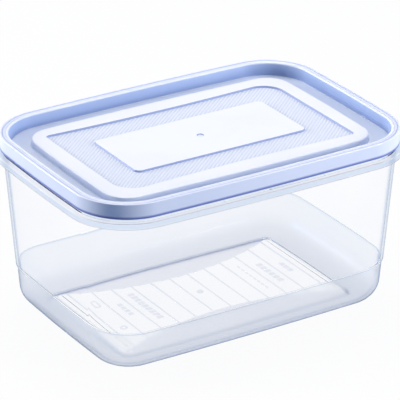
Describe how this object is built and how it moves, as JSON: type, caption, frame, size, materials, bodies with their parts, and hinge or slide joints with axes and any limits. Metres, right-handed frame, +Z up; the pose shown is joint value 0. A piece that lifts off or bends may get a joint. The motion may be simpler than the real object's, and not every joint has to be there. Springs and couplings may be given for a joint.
{
  "type": "food storage container",
  "caption": "Empty two-litre clear plastic food tub with round corners and a pale blue translucent press-on lid.",
  "frame": {"origin": "middle of the base, on the surface it stands on", "axes": "+X along the long side, +Y along the short side, +Z up"},
  "size_m": [0.2056, 0.145, 0.1035],
  "materials": {
    "clear_plastic": "glossy clear walls, fine satin on the lower band and floor",
    "blue_plastic": "soft gloss, translucent"
  },
  "bodies": {
    "root": {"tub": "clear_plastic", "lid": "blue_plastic"}
  },
  "joints": []
}
